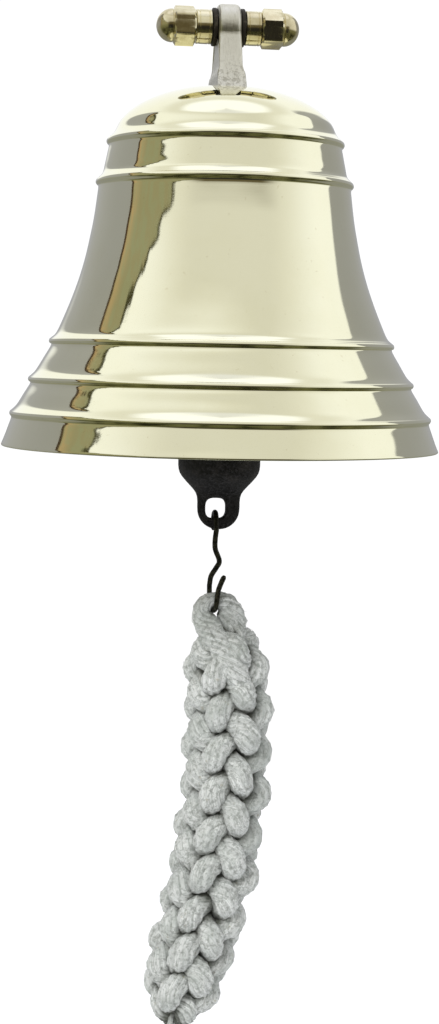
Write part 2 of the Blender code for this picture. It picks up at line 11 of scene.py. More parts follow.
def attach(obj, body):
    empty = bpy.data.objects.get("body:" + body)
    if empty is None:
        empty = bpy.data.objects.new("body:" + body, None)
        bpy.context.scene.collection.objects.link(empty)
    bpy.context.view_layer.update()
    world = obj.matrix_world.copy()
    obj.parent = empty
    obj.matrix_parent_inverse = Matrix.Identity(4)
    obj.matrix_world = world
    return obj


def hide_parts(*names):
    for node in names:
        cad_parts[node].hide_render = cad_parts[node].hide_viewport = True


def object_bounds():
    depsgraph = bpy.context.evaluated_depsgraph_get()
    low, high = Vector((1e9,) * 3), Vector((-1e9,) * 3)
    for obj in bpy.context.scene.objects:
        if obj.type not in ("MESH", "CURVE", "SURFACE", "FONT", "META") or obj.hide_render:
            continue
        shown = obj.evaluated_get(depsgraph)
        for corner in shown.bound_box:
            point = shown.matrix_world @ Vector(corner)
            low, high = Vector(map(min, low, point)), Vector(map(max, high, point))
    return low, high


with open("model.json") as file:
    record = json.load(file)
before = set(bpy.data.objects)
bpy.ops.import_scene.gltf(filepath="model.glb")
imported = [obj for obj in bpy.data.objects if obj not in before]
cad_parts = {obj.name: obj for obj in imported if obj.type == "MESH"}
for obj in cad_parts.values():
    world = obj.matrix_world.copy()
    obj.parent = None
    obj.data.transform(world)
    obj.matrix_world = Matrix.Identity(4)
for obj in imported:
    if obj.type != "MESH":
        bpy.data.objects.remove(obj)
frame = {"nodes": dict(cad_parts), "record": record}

CAD_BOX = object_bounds()
MM = 0.001
rng = random.Random(7)

# The bell's outline, as in the frame: heights below the cross bolt and radii, in millimetres
CROWN_TOP = -26.9
SHOULDER = -51.5
CROWN_SIZE = (51.3, 24.7)
BEAD_RAMP = 4.3
BEAD_RETURN = 1.9
BEADS = [
    (-53.0, 54.9, 51.3, 53.8), (-71.6, 59.6, 56.4, 58.4), (-144.9, 80.1, 76.5, 79.1),
    (-162.6, 89.5, 85.9, 88.5), (-178.4, 97.9, 94.3, 97.0),
]
WALLS = [
    [(-58.2, 54.4), (-63.0, 55.4)],
    [(-77.0, 58.7), (-87.5, 60.1), (-96.6, 61.8), (-105.8, 63.8), (-115.1, 66.4), (-124.3, 69.6),
     (-133.0, 73.1)],
    [(-152.5, 82.4)],
    [(-169.3, 91.4)],
    [(-183.8, 98.2), (-189.0, 100.1)],
]
LIP = (-193.2, 101.6)
INNER_WALL = [
    (-192.0, 95.0), (-181.0, 90.2), (-162.5, 81.6), (-145.5, 74.0), (-130.0, 67.2), (-110.5, 60.6),
    (-87.0, 55.9), (-65.5, 52.0), (-53.0, 49.0),
]
INNER_CROWN = (48.0, 19.4)
CROWN_SEAT = (-32.3, 15.0)
STUD_BORE = 5.3

# The lug, the clapper's bob and its eye, in millimetres
LUG_CREST = 10.5
LUG_HALF_THICKNESS = 5.25
LUG_FOOT_HALF_DEPTH = 20.4
LUG_BORE = 5.35
FOOT_EDGE = -29.4
BOB_TOP = -181.5
BOB_RADIUS = 19.2
BOB_SOCKET = 4.3
TAIL = (-221.6, 9.9, 2.8)           # height of the round end's middle, half-width and half-thickness
EYE = (-1.5, -221.3, 4.8)           # middle and half-width

# The pieces on the bolt, in millimetres; washers and sleeves as inner and outer face and radius
HEX_START = 15.25
HEX_LENGTH = 10.0
HEX_HALF_WIDTH = 8.0
DOME_SIZE = (7.6, 7.2)
NUT_BORE = (5.3, 12.0)
WASHER = (5.55, 7.45, 8.65)
SLEEVE = (7.75, 14.95, 7.8)

# The hook's bends and shank, in millimetres
UPPER_BEND = (-228.8, 5.5)
LOWER_BEND = (-263.3, 6.3)
WIRE_RADIUS = 1.25
SHANK = [
    (-1.4, -5.5, -231.2), (-1.8, -4.9, -235.6), (-1.4, -2.8, -240.4), (1.0, 0.1, -246.3),
    (-0.2, 2.2, -249.8), (-2.2, 4.6, -254.0), (-2.7, 6.1, -258.5),
]
TIP = [(0.0, -6.5, -259.1), (1.2, -7.0, -255.7), (2.5, -7.9, -252.4)]

# The lanyard: centreline as (x, z) with the plait's radius, and its top eye, in millimetres
HOLE = (-1.6, -269.6)
PLAIT = [
    (2.6, -277.5, 7.0), (3.4, -281.5, 11.8), (4.3, -289.0, 16.4), (5.0, -300.0, 19.2),
    (6.6, -316.0, 20.2), (6.4, -336.0, 20.2), (5.0, -360.0, 20.2), (2.1, -384.0, 20.2),
    (-2.6, -408.0, 20.2), (-7.6, -428.0, 20.0), (-11.8, -443.0, 19.0), (-14.2, -455.0, 16.5),
    (-15.0, -463.0, 13.4), (-15.1, -466.5, 10.5),
]
PLAIT_RADIUS = 20.2
PLAIT_PITCH = 78.0
STRAND_SIZE = (5.9, 5.7)            # half-widths of a strand, outwards and across
YARN_PITCH = 40.0


# ---------------------------------------------------------------- small tools

def arc(centre, radius, start, end, count):
    """Points on an arc, from start to end in degrees."""
    points = []
    for step in range(count + 1):
        angle = math.radians(start + (end - start) * step / count)
        points.append((centre[0] + radius * math.cos(angle), centre[1] + radius * math.sin(angle)))
    return points


def dome(size, centre, start, end, count):
    """(radius, height) points of an elliptic dome, from start to end in degrees above its centre."""
    points = []
    for step in range(count + 1):
        angle = math.radians(start + (end - start) * step / count)
        points.append((size[0] * math.cos(angle), centre + size[1] * math.sin(angle)))
    return points


def smooth(points, parts):
    """A Catmull-Rom curve through vectors, with the given number of parts between each two."""
    ends = [2 * points[0] - points[1], *points, 2 * points[-1] - points[-2]]
    path = []
    for i in range(1, len(ends) - 2):
        before, start, end, after = ends[i - 1:i + 3]
        for step in range(parts):
            t = step / parts
            path.append(0.5 * (
                2 * start + (end - before) * t
                + (2 * before - 5 * start + 4 * end - after) * t ** 2
                + (3 * start - before - 3 * end + after) * t ** 3))
    return path + [points[-1]]


def step_up(low, high, value):
    """0 below low, 1 above high and smooth between."""
    t = min(max((value - low) / (high - low), 0.0), 1.0)
    return t * t * (3 - 2 * t)


def new_object(name, vertices, faces, material, uvs=None, sharp=None):
    """A smooth mesh object in the scene."""
    mesh = bpy.data.meshes.new(name)
    mesh.from_pydata(vertices, [], faces)
    if uvs:
        layer = mesh.uv_layers.new(name="Along")
        for loop in mesh.loops:
            layer.data[loop.index].uv = uvs[loop.vertex_index]
    mesh.materials.append(material)
    mesh.shade_smooth()
    if sharp:
        mesh.set_sharp_from_angle(angle=math.radians(sharp))
    obj = bpy.data.objects.new(name, mesh)
    bpy.context.scene.collection.objects.link(obj)
    return obj


def lathe(name, outline, material, steps=192, closed=True, sharp=None, along_x=False):
    """A turned mesh about +Z, or +X, from (radius, height) points in millimetres."""
    count = len(outline)
    vertices = []
    for turn in range(steps):
        angle = 2 * math.pi * turn / steps
        for radius, height in outline:
            place = Vector((radius * math.cos(angle), radius * math.sin(angle), height)) * MM
            vertices.append(place.zxy if along_x else place)
    faces = []
    last = count if closed else count - 1
    for turn in range(steps):
        here = turn * count
        there = (turn + 1) % steps * count
        for i in range(last):
            j = (i + 1) % count
            faces.append((here + i, here + j, there + j, there + i))
    return new_object(name, vertices, faces, material, sharp=sharp)


def tube(name, rings, material, uvs=None):
    """A closed tube through rings of points, with its ends filled."""
    sides = len(rings[0])
    vertices = [point for ring in rings for point in ring]
    faces = []
    for row in range(len(rings) - 1):
        for side in range(sides):
            other = (side + 1) % sides
            faces.append((row * sides + side, row * sides + other,
                          (row + 1) * sides + other, (row + 1) * sides + side))
    faces.append(tuple(range(sides))[::-1])
    faces.append(tuple(range((len(rings) - 1) * sides, len(rings) * sides)))
    return new_object(name, vertices, faces, material, uvs)


# ---------------------------------------------------------------- materials

class Nodes:
    """A short way to write a material's or the world's nodes."""

    def __init__(self, tree):
        self.tree = tree

    def add(self, kind, inputs=None, **settings):
        node = self.tree.nodes.new("ShaderNode" + kind)
        for name, value in settings.items():
            setattr(node, name, value)
        for key, value in (inputs or {}).items():
            if isinstance(value, bpy.types.NodeSocket):
                self.tree.links.new(value, node.inputs[key])
            else:
                node.inputs[key].default_value = value
        return node

    def math(self, operation, first, second=0.0, third=0.0, clamp=False):
        node = self.add("Math", {0: first, 1: second, 2: third}, operation=operation, use_clamp=clamp)
        return node.outputs[0]

    def smoothstep(self, value, low, high, out_low=0.0, out_high=1.0):
        limits = {"From Min": low, "From Max": high, "To Min": out_low, "To Max": out_high}
        node = self.add("MapRange", {"Value": value, **limits}, interpolation_type="SMOOTHSTEP")
        return node.outputs[0]

    def mix(self, factor, first, second, blend="MIX"):
        node = self.add("Mix", data_type="RGBA", blend_type=blend)
        for index, value in ((0, factor), (6, first), (7, second)):
            if isinstance(value, bpy.types.NodeSocket):
                self.tree.links.new(value, node.inputs[index])
            else:
                node.inputs[index].default_value = value if index == 0 else (*value, 1.0)
        return node.outputs[2]

    def noise(self, scale, detail=4.0, roughness=0.55, vector=None, distortion=0.0):
        inputs = {"Scale": scale, "Detail": detail, "Roughness": roughness, "Distortion": distortion}
        if vector:
            inputs["Vector"] = vector
        return self.add("TexNoise", inputs).outputs["Fac"]

    def place(self, scale=(1, 1, 1)):
        """The surface's place in the row frame, in metres, stretched by scale."""
        coordinates = self.add("TexCoord").outputs["Object"]
        return self.add("Mapping", {"Vector": coordinates, "Scale": scale}).outputs["Vector"]

    def bump(self, height, distance, strength=1.0, normal=None):
        inputs = {"Height": height, "Distance": distance, "Strength": strength}
        if normal:
            inputs["Normal"] = normal
        return self.add("Bump", inputs).outputs["Normal"]


def new_material(name, metallic=0.0, **constants):
    """A material and its helper; constants go straight on the shader's sockets."""
    material = bpy.data.materials.new(name)
    material.use_nodes = True
    shader = material.node_tree.nodes["Principled BSDF"]
    shader.inputs["Metallic"].default_value = metallic
    for key, value in constants.items():
        shader.inputs[key.replace("_", " ")].default_value = value
    return material, Nodes(material.node_tree), shader


def join(nodes, shader, **links):
    """Link sockets to the shader's inputs."""
    for key, socket in links.items():
        nodes.tree.links.new(socket, shader.inputs[key.replace("_", " ")])


def polished_brass():
    """Lathe-turned and buffed brass: faint turning lines, hairlines, soft waves and a little tarnish."""
    material, nodes, shader = new_material("polished_brass", 1.0)
    tarnish = nodes.noise(26.0, 5.0, 0.6, nodes.place())
    colour = nodes.mix(nodes.smoothstep(tarnish, 0.35, 0.75), (0.93, 0.905, 0.665), (0.90, 0.872, 0.62))
    spots = nodes.smoothstep(nodes.noise(420.0, 2.0, 0.5, nodes.place()), 0.70, 0.78)
    colour = nodes.mix(nodes.math("MULTIPLY", spots, 0.25), colour, (0.62, 0.53, 0.33))
    lines = nodes.noise(1.0, 3.0, 0.7, nodes.place((30.0, 30.0, 5200.0)))
    hairs = nodes.noise(1.0, 2.0, 0.6, nodes.place((900.0, 900.0, 60.0)))
    turned = nodes.smoothstep(lines, 0.3, 0.8, 0.03, 0.07)
    rough = nodes.math("ADD", turned, nodes.math("MULTIPLY", tarnish, 0.02))
    waves = nodes.noise(17.0, 2.0, 0.4, nodes.place((1.0, 1.0, 1.6)))
    normal = nodes.bump(waves, 0.0010, 0.5)
    normal = nodes.bump(lines, 0.000006, 0.5, normal)
    normal = nodes.bump(hairs, 0.000004, 0.4, normal)
    join(nodes, shader, Base_Color=colour, Roughness=rough, Normal=normal)
    return material


def satin_brass():
    """The cast lug: pale, brushed lengthways, mottled towards the foot, with painted shade in the hollow of
    each cheek.
    """
    material, nodes, shader = new_material("satin_brass", 1.0)
    cloud = nodes.noise(160.0, 5.0, 0.65, nodes.place())
    strokes = nodes.noise(1.0, 4.0, 0.7, nodes.place((2600.0, 700.0, 60.0)))
    parts = nodes.add("SeparateXYZ", {0: nodes.place()}).outputs
    low = nodes.smoothstep(parts[2], -0.014, -0.022)
    mottle = nodes.smoothstep(nodes.noise(620.0, 4.0, 0.7, nodes.place()), 0.46, 0.62)
    colour = nodes.mix(cloud, (0.82, 0.80, 0.69), (0.68, 0.66, 0.56))
    colour = nodes.mix(nodes.smoothstep(strokes, 0.52, 0.30, 0.0, 0.40), colour, (0.36, 0.34, 0.26))
    dull = nodes.math("MULTIPLY", nodes.math("MULTIPLY", mottle, low), 0.55)
    colour = nodes.mix(dull, colour, (0.26, 0.24, 0.17))
    # Painted shade: the hollow of each cheek, near the bolt and on faces that look sideways, is darkened to a
    # deep brown.
    cheek = nodes.smoothstep(nodes.math("ABSOLUTE", parts[0]), 0.00500, 0.00455)
    from_bolt = nodes.add("VectorMath", {0: nodes.place((0.0, 1.0, 1.0))}, operation="LENGTH")
    inside = nodes.smoothstep(from_bolt.outputs[1], 0.0240, 0.0225)
    facing = nodes.add("NewGeometry").outputs["Normal"]
    sideways = nodes.smoothstep(
        nodes.math("ABSOLUTE", nodes.add("SeparateXYZ", {0: facing}).outputs[0]), 0.55, 0.75)
    hollow = nodes.math("MULTIPLY", nodes.math("MULTIPLY", cheek, inside), sideways)
    colour = nodes.mix(nodes.math("MULTIPLY", hollow, 0.8), colour, (0.12, 0.10, 0.05))
    rough = nodes.smoothstep(strokes, 0.25, 0.75, 0.30, 0.48)
    normal = nodes.bump(mottle, -0.00006, 0.6)
    normal = nodes.bump(strokes, 0.00006, 0.8, normal)
    join(nodes, shader, Base_Color=colour, Roughness=rough, Normal=normal)
    return material


def brass_fittings():
    """Turned brass nuts and sleeves with brown tarnish and turning marks."""
    material, nodes, shader = new_material("brass_fittings", 1.0)
    tarnish = nodes.noise(240.0, 5.0, 0.65, nodes.place())
    stain = nodes.smoothstep(nodes.noise(90.0, 3.0, 0.6, nodes.place()), 0.42, 0.66)
    colour = nodes.mix(tarnish, (0.88, 0.83, 0.58), (0.72, 0.64, 0.40))
    colour = nodes.mix(nodes.math("MULTIPLY", stain, 0.4), colour, (0.42, 0.33, 0.16))
    lines = nodes.noise(1.0, 2.0, 0.6, nodes.place((4200.0, 120.0, 120.0)))
    rough = nodes.smoothstep(lines, 0.3, 0.75, 0.10, 0.22)
    normal = nodes.bump(lines, 0.000012, 0.6)
    join(nodes, shader, Base_Color=colour, Roughness=rough, Normal=normal)
    return material


def dark_washer():
    """Blackened thin washers, worn to metal in places."""
    material, nodes, shader = new_material("dark_washer", 0.7)
    wear = nodes.smoothstep(nodes.noise(380.0, 4.0, 0.6, nodes.place()), 0.55, 0.75)
    colour = nodes.mix(wear, (0.035, 0.030, 0.022), (0.16, 0.14, 0.10))
    rough = nodes.smoothstep(wear, 0.0, 1.0, 0.55, 0.35)
    normal = nodes.bump(nodes.noise(1400.0, 2.0, 0.5, nodes.place()), 0.00004, 0.6)
    join(nodes, shader, Base_Color=colour, Roughness=rough, Normal=normal)
    return material


def plated_steel():
    """Zinc-plated steel with fine grain and a few dull patches."""
    material, nodes, shader = new_material("plated_steel", 1.0)
    cloud = nodes.noise(300.0, 4.0, 0.6, nodes.place())
    colour = nodes.mix(cloud, (0.62, 0.62, 0.60), (0.44, 0.44, 0.42))
    rough = nodes.smoothstep(cloud, 0.3, 0.7, 0.28, 0.48)
    normal = nodes.bump(nodes.noise(1.0, 2.0, 0.5, nodes.place((900.0, 900.0, 2600.0))), 0.00003, 0.6)
    join(nodes, shader, Base_Color=colour, Roughness=rough, Normal=normal)
    return material


def black_iron():
    """Cast iron under thin black paint: sand-cast grain, brown-grey dust on the high spots."""
    material, nodes, shader = new_material("black_iron", 0.15)
    grain = nodes.noise(750.0, 4.0, 0.65, nodes.place())
    lumps = nodes.noise(160.0, 3.0, 0.5, nodes.place())
    colour = nodes.mix(nodes.smoothstep(grain, 0.40, 0.72), (0.0075, 0.0072, 0.0090), (0.030, 0.028, 0.030))
    colour = nodes.mix(nodes.smoothstep(lumps, 0.52, 0.72, 0.0, 0.45), colour, (0.040, 0.033, 0.028))
    rough = nodes.smoothstep(grain, 0.3, 0.8, 0.50, 0.72)
    normal = nodes.bump(lumps, 0.0006, 0.6)
    normal = nodes.bump(grain, 0.00022, 0.8, normal)
    join(nodes, shader, Base_Color=colour, Roughness=rough, Normal=normal)
    return material


def dark_wire():
    """Bronze wire gone nearly black, rubbed to olive brown on its outside."""
    material, nodes, shader = new_material("dark_wire", 0.8)
    cloud = nodes.noise(520.0, 4.0, 0.6, nodes.place())
    colour = nodes.mix(nodes.smoothstep(cloud, 0.42, 0.66), (0.020, 0.020, 0.015), (0.088, 0.086, 0.058))
    rough = nodes.smoothstep(cloud, 0.3, 0.7, 0.50, 0.32)
    normal = nodes.bump(nodes.noise(1300.0, 3.0, 0.6, nodes.place()), 0.00006, 0.7)
    join(nodes, shader, Base_Color=colour, Roughness=rough, Normal=normal)
    return material


def leather():
    """Oiled leather with a pebbled grain."""
    material, nodes, shader = new_material("leather", 0.0)
    cells = nodes.add("TexVoronoi", {"Vector": nodes.place(), "Scale": 900.0}).outputs["Distance"]
    cloud = nodes.noise(200.0, 4.0, 0.6, nodes.place())
    colour = nodes.mix(cloud, (0.075, 0.035, 0.016), (0.16, 0.080, 0.038))
    rough = nodes.smoothstep(cells, 0.0, 0.7, 0.55, 0.80)
    join(nodes, shader, Base_Color=colour, Roughness=rough, Normal=nodes.bump(cells, 0.00012, 0.7))
    return material


def plaited_cotton():
    """Washed cotton: fibres along the lay, mottled grey-green, with painted shade between the yarns and the
    strands.
    """
    material, nodes, shader = new_material(
        "plaited_cotton", 0.0, Roughness=0.95, Sheen_Weight=0.3, Sheen_Roughness=0.6)
    along = nodes.add("UVMap", uv_map="Along").outputs["UV"]
    fibres = nodes.add("Mapping", {"Vector": along, "Scale": (46.0, 5.2, 1.0)}).outputs["Vector"]
    fibre = nodes.noise(1.0, 5.0, 0.7, fibres, 0.6)
    fuzz = nodes.noise(520.0, 5.0, 0.8, nodes.place())
    cloud = nodes.noise(62.0, 4.0, 0.6, nodes.place())
    colour = nodes.mix(nodes.smoothstep(fibre, 0.32, 0.66), (0.50, 0.525, 0.505), (0.86, 0.88, 0.86))
    colour = nodes.mix(nodes.smoothstep(fuzz, 0.52, 0.40, 0.0, 0.80), colour, (0.28, 0.30, 0.275))
    colour = nodes.mix(nodes.smoothstep(cloud, 0.42, 0.66, 0.0, 0.45), colour, (0.38, 0.42, 0.385))
    seed = nodes.smoothstep(nodes.noise(330.0, 2.0, 0.5, nodes.place()), 0.68, 0.76, 0.0, 0.5)
    colour = nodes.mix(seed, colour, (0.30, 0.27, 0.17))
    # Painted shade in the grooves between the yarns: darker where a point lies low on its yarn.
    yarn = nodes.add("Attribute", attribute_name="yarn").outputs["Fac"]
    colour = nodes.mix(nodes.smoothstep(yarn, 0.45, 0.0, 0.0, 0.45), colour, (0.20, 0.215, 0.18))
    # Painted shade in the crevices between the strands: near black where a point lies deep inside the plait.
    exposed = nodes.add("Attribute", attribute_name="exposed").outputs["Fac"]
    colour = nodes.mix(nodes.smoothstep(exposed, 0.88, 0.64, 0.0, 0.95), colour, (0.055, 0.062, 0.042))
    normal = nodes.bump(fuzz, 0.00060, 0.8)
    normal = nodes.bump(fibre, 0.00045, 0.9, normal)
    join(nodes, shader, Base_Color=colour, Normal=normal)
    return material


# ---------------------------------------------------------------- pieces

def bead(nose, radius, above, below):
    """One bead ring's outline: a ramp outwards, a rounded nose and a short undercut step."""
    return [
        (above, nose + BEAD_RAMP), (above + 0.62 * (radius - above), nose + 0.45 * BEAD_RAMP),
        (radius - 0.35, nose + 1.1), (radius, nose), (radius - 0.4, nose - 0.9), (below, nose - BEAD_RETURN),
    ]


def bell_shell(material):
    """The bell's whole wall, finely turned."""
    outer = dome(CROWN_SIZE, SHOULDER, 80, 17, 12)
    for ring, wall in zip(BEADS, WALLS):
        outer += bead(*ring) + [(radius, height) for height, radius in wall]
    outer = [Vector((STUD_BORE, CROWN_TOP))] + [Vector(point) for point in outer]
    outer += [Vector((LIP[1], LIP[0] + 0.6))]
    outline = [tuple(point) for point in smooth(outer, 5)]
    outline += arc((LIP[1] - 0.6, LIP[0] + 0.6), 0.6, 0, -90, 4)[1:]
    inner = [Vector((LIP[1] - 5.9, LIP[0] + 0.1))]
    inner += [Vector((radius, height)) for height, radius in INNER_WALL]
    inner += [Vector(point) for point in dome(INNER_CROWN, SHOULDER, 15, 68, 6)]
    inner += [Vector((CROWN_SEAT[1], CROWN_SEAT[0]))]
    outline += [tuple(point) for point in smooth(inner, 3)]
    outline.append((STUD_BORE, CROWN_SEAT[0]))
    piece = lathe("bell_shell", outline, material, steps=240, sharp=50)
    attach(piece, "bell")
    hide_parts("bell_body")


def lug_outline():
    """The lug seen along the bolt, closed, as (y, z) points: crest, flank, the crown's curve and flank."""
    crest = arc((0, 0), LUG_CREST, -19, 199, 64)
    flank = []
    for step in range(1, 17):
        t = step / 16
        start, end = crest[-1][0], -LUG_FOOT_HALF_DEPTH
        flare = 0.72 * t + 0.28 * t ** 3
        flank.append((start + (end - start) * flare, crest[-1][1] + (FOOT_EDGE - crest[-1][1]) * t))
    bottom = []
    for step in range(1, 24):
        across = -LUG_FOOT_HALF_DEPTH + 2 * LUG_FOOT_HALF_DEPTH * step / 24
        sink = 1 - math.sqrt(1 - (across / CROWN_SIZE[0]) ** 2)
        bottom.append((across, CROWN_TOP - 0.5 - CROWN_SIZE[1] * sink))
    return crest + flank + bottom + [(-across, up) for across, up in reversed(flank)]


def lug(material):
    """The cast lug: rounded edges, a shallow hollow in each cheek and a foot that spreads over the crown."""
    outline = [Vector(point) for point in lug_outline()]
    count = len(outline)
    middle = Vector((0, 0))
    rows = []
    for i, point in enumerate(outline):
        spread = step_up(-20, -28.5, point.y)
        edge = 2.2 * step_up(-28.0, -25.0, point.y) + 0.02
        half = LUG_HALF_THICKNESS + 1.3 * spread
        inward = (middle - point).normalized()
        reach = (point - middle).length - LUG_BORE
        strip = [(half - 2.2 + 2.2 * out, inward * edge * (1 - math.sqrt(max(0.0, 1 - out ** 2))))
                 for out in (0.0, 0.3, 0.55, 0.76, 0.9, 0.975, 1.0)]
        face = [(x, point + offset) for x, offset in strip]
        for step in range(1, 13):
            t = step / 12
            place = point + inward * (edge + (reach - edge) * t)
            hollow = 1.1 * step_up(0.02, 0.16, t) * step_up(0.98, 0.76, t) * step_up(-23, -19, place.y)
            face.append((half - hollow - 0.5 * spread * t, place))
        back = [(-x, place) for x, place in face]
        rows.append(back[::-1] + face)
    vertices = [(x * MM, place.x * MM, place.y * MM) for row in rows for x, place in row]
    wide = len(rows[0])
    faces = []
    for i in range(count):
        here, there = i * wide, (i + 1) % count * wide
        for j in range(wide):
            k = (j + 1) % wide
            faces.append((here + j, here + k, there + k, there + j))
    piece = new_object("hanging_lug", vertices, faces, material, sharp=45)
    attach(piece, "bell")
    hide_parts("crown_lug")


def cap_nut(side, word, turn, material):
    """A domed hexagon nut with chamfered ends, turned by an angle about the bolt."""
    end = HEX_START + HEX_LENGTH
    corner = HEX_HALF_WIDTH / math.cos(math.pi / 6) - 0.1
    stations = [
        (HEX_START + NUT_BORE[1], NUT_BORE[0]), (HEX_START, NUT_BORE[0]), (HEX_START, 7.3),
        (HEX_START + 0.05, 7.7), (HEX_START + 0.85, corner), (end - 0.85, corner),
        (end - 0.05, 7.75), (end, 7.3), (end + 0.25, 7.25),
        (end + 0.45, 7.5),
    ]
    stations += [(end + 0.6 + height, radius) for radius, height in dome(DOME_SIZE, 0, 0, 88, 14)]
    rings = []
    for along, limit in stations:
        ring = []
        for step in range(96):
            angle = 2 * math.pi * step / 96
            bend = (math.degrees(angle) + 30) % 60 - 30
            radius = min(limit, HEX_HALF_WIDTH / math.cos(math.radians(bend)))
            place = angle + math.radians(turn)
            depth, up = -math.cos(place) * radius, -side * math.sin(place) * radius
            ring.append(Vector((side * along, depth, up)) * MM)
        rings.append(ring)
    piece = tube("acorn_nut_" + word, rings, material)
    piece.data.set_sharp_from_angle(angle=math.radians(28))
    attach(piece, "hanger")
    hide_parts("cap_nut_" + word)


def hanger_rings(side, word, materials):
    """A washer and a sleeve on the bolt; the sleeve has a turned line near each end."""
    start, end, radius = WASHER
    outline = [(NUT_BORE[0], start), (radius - 0.5, start), (radius - 0.12, start + 0.14),
               (radius, start + 0.5), (radius, end - 0.5), (radius - 0.12, end - 0.14),
               (radius - 0.5, end), (NUT_BORE[0], end)]
    outline = [(out, side * along) for out, along in outline]
    material = materials["dark_washer"]
    washer = lathe("washer_" + word, outline, material, steps=96, sharp=50, along_x=True)
    start, end, radius = SLEEVE
    outline = [(NUT_BORE[0], start), (radius - 0.35, start), (radius, start + 0.3), (radius, start + 1.1),
               (radius - 0.22, start + 1.25), (radius - 0.22, start + 1.5), (radius, start + 1.65)]
    outline += [(out, start + end - along) for out, along in reversed(outline)]
    outline = [(out, side * along) for out, along in outline]
    material = materials["brass_fittings"]
    sleeve = lathe("sleeve_" + word, outline, material, steps=96, sharp=40, along_x=True)
    rings = ((washer, "thrust_washer_", "dark_washer"), (sleeve, "spacer_", "brass_fittings"))
    for piece, node, slot in rings:
        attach(piece, "hanger")
        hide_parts(node + word)


def rounded_section(half_width, half_depth, power, sides=96):
    """A superellipse ring: a circle at power 2, near a rectangle at 6."""
    points = []
    for side in range(sides):
        angle = 2 * math.pi * (side + 0.5) / sides
        along, out = math.cos(angle), math.sin(angle)
        size = (abs(along) ** power + abs(out) ** power) ** (-1 / power)
        points.append((half_width * along * size, half_depth * out * size))
    return points


def clapper_bob(material):
    """The cast bob: a dome, a straight side, a cone that flows into the flat tail, and the tail's eye."""
    sections = [(BOB_TOP - 14, BOB_SOCKET, BOB_SOCKET, 2), (BOB_TOP, BOB_SOCKET, BOB_SOCKET, 2)]
    for radius, height in dome((BOB_RADIUS, 17.0), BOB_TOP - 17.0, 66, 0, 14):
        sections.append((height, radius, radius, 2))
    sections += [
        (-201.0, 19.2, 19.1, 2), (-203.0, 19.0, 18.9, 2), (-204.8, 18.5, 18.2, 2),
        (-206.6, 17.4, 16.8, 2), (-208.8, 15.5, 14.2, 2.1), (-211.0, 13.4, 10.8, 2.3),
        (-212.8, 11.8, 7.6, 2.6), (-214.4, 10.7, 5.2, 3.1), (-216.2, 10.1, 3.7, 3.9),
        (-218.4, 9.9, 3.0, 4.6), (TAIL[0] + 0.6, TAIL[1], TAIL[2], 5),
    ]
    for step in range(1, 11):
        angle = math.pi / 2 * step / 10.4
        lopsided = 0.985 + 0.015 * math.cos(angle)
        half_width = TAIL[1] * math.cos(angle) ** 0.9 * lopsided
        half_depth = TAIL[2] * (0.45 + 0.55 * math.cos(angle) ** 0.5)
        sections.append((TAIL[0] - (TAIL[1] - 0.3) * math.sin(angle), half_width, half_depth, 4))
    rings = []
    for height, half_width, half_depth, power in sections:
        rings.append([Vector((across, out, height)) * MM
                      for across, out in rounded_section(half_width, half_depth, power)])
    piece = tube("clapper_casting", rings, material)
    cutter_rings = []
    flares = [(1.4, 0.0), (2.4, 0.25), (3.4, 0.9), (9, 3.0)]
    for depth, flare in [(-depth, flare) for depth, flare in reversed(flares)] + flares:
        half = EYE[2] + flare
        cutter_rings.append([Vector((EYE[0] + across, depth, EYE[1] + up)) * MM
                             for across, up in rounded_section(half, half, 3.0, 48)])
    cutter = tube("eye_cutter", cutter_rings, material)
    for obj in (piece, cutter):
        shape = bmesh.new()
        shape.from_mesh(obj.data)
        bmesh.ops.recalc_face_normals(shape, faces=shape.faces)
        shape.to_mesh(obj.data)
        shape.free()
    cut = piece.modifiers.new("Eye", "BOOLEAN")
    cut.operation = "DIFFERENCE"
    cut.object = cutter
    evaluated = piece.evaluated_get(bpy.context.evaluated_depsgraph_get())
    mesh = bpy.data.meshes.new_from_object(evaluated)
    piece.modifiers.clear()
    piece.data = mesh
    bpy.data.objects.remove(cutter)
    mesh.shade_smooth()
    mesh.set_sharp_from_angle(angle=math.radians(50))
    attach(piece, "clapper")
    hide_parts("clapper_bob")


def wire_path():
    """The hook's centreline, in metres."""
    upper = arc((0, UPPER_BEND[0]), UPPER_BEND[1], -35, 180, 26)
    path = [Vector((EYE[0], across, up)) for across, up in upper]
    path += smooth([Vector(place) for place in SHANK], 6)
    for across, up in arc((0, LOWER_BEND[0]), LOWER_BEND[1], 0, -180, 22):
        path.append(Vector((HOLE[0] - across / LOWER_BEND[1], across, up)))
    path += smooth([Vector(place) for place in TIP], 6)
    return [point * MM for point in path]


def hook_wire(material):
    """The bent wire, a little uneven from its bending, with rounded cut ends."""
    path = wire_path()
    count = len(path)
    normal = Vector((1, 0, 0))
    rings = []
    for i, point in enumerate(path):
        tangent = (path[min(i + 1, count - 1)] - path[max(i - 1, 0)]).normalized()
        normal = (normal - tangent * normal.dot(tangent)).normalized()
        side = tangent.cross(normal)
        end = min(i, count - 1 - i)
        size = WIRE_RADIUS * MM * (0.6, 0.88, 1.0)[min(end, 2)] * (1 - 0.03 * rng.random())
        ring = []
        for turn in range(16):
            angle = 2 * math.pi * turn / 16
            ring.append(point + size * (math.cos(angle) * normal + math.sin(angle) * side))
        rings.append(ring)
    piece = tube("hook_wire", rings, material)
    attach(piece, "hook")
    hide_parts("s_hook")


